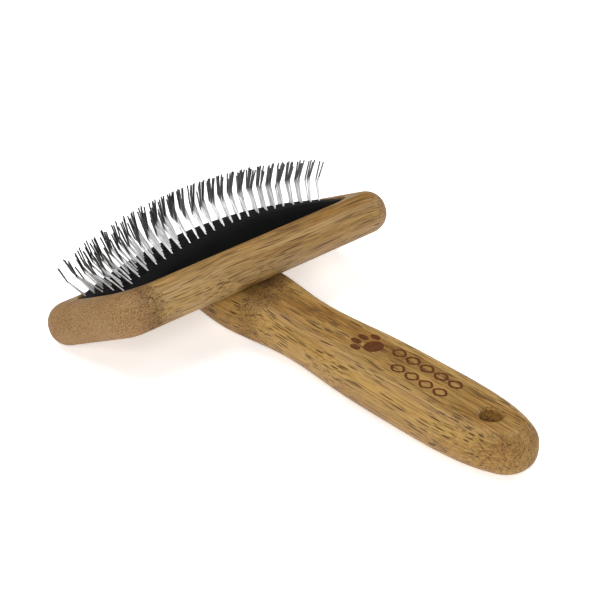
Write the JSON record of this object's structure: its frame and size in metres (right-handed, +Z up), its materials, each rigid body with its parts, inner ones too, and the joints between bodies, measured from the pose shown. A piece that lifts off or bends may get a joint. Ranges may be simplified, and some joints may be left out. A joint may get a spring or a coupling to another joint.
{
  "type": "slicker brush",
  "caption": "Pet slicker brush: a tilted bamboo head with a domed cushion of bent wire pins, on a bamboo handle with a round tip and a hanging hole.",
  "frame": {"origin": "middle of the bounding box in plan, at the surface that the brush lies on", "axes": "+X along the head, +Y from the hanging hole to the head, +Z up, the side that the pins stand on"},
  "size_m": [0.115, 0.1572, 0.0438],
  "materials": {
    "head_bamboo": "oiled satin",
    "handle_bamboo": "oiled satin",
    "pad_rubber": "matte",
    "pad_cloth": "woven",
    "pad_foam": "open cell",
    "pin_steel": "drawn wire",
    "screw_steel": "zinc plated",
    "dowel_wood": "raw"
  },
  "bodies": {
    "root": {"head_block": "head_bamboo", "handle": "handle_bamboo", "face_skin": "pad_rubber", "backing_cloth": "pad_cloth", "foam_cushion": "pad_foam", "neck_screws": "screw_steel", "neck_dowels": "dowel_wood", "pin_line_01": "pin_steel", "pin_line_02": "pin_steel", "pin_line_03": "pin_steel", "pin_line_04": "pin_steel", "pin_line_05": "pin_steel", "pin_line_06": "pin_steel", "pin_line_07": "pin_steel", "pin_line_08": "pin_steel", "pin_line_09": "pin_steel", "pin_line_10": "pin_steel", "pin_line_11": "pin_steel", "pin_line_12": "pin_steel", "pin_line_13": "pin_steel", "pin_line_14": "pin_steel", "pin_line_15": "pin_steel", "pin_line_16": "pin_steel", "pin_line_17": "pin_steel", "pin_line_18": "pin_steel", "pin_line_19": "pin_steel", "pin_line_20": "pin_steel", "pin_line_21": "pin_steel", "pin_line_22": "pin_steel", "pin_line_23": "pin_steel", "pin_line_24": "pin_steel"}
  },
  "joints": []
}
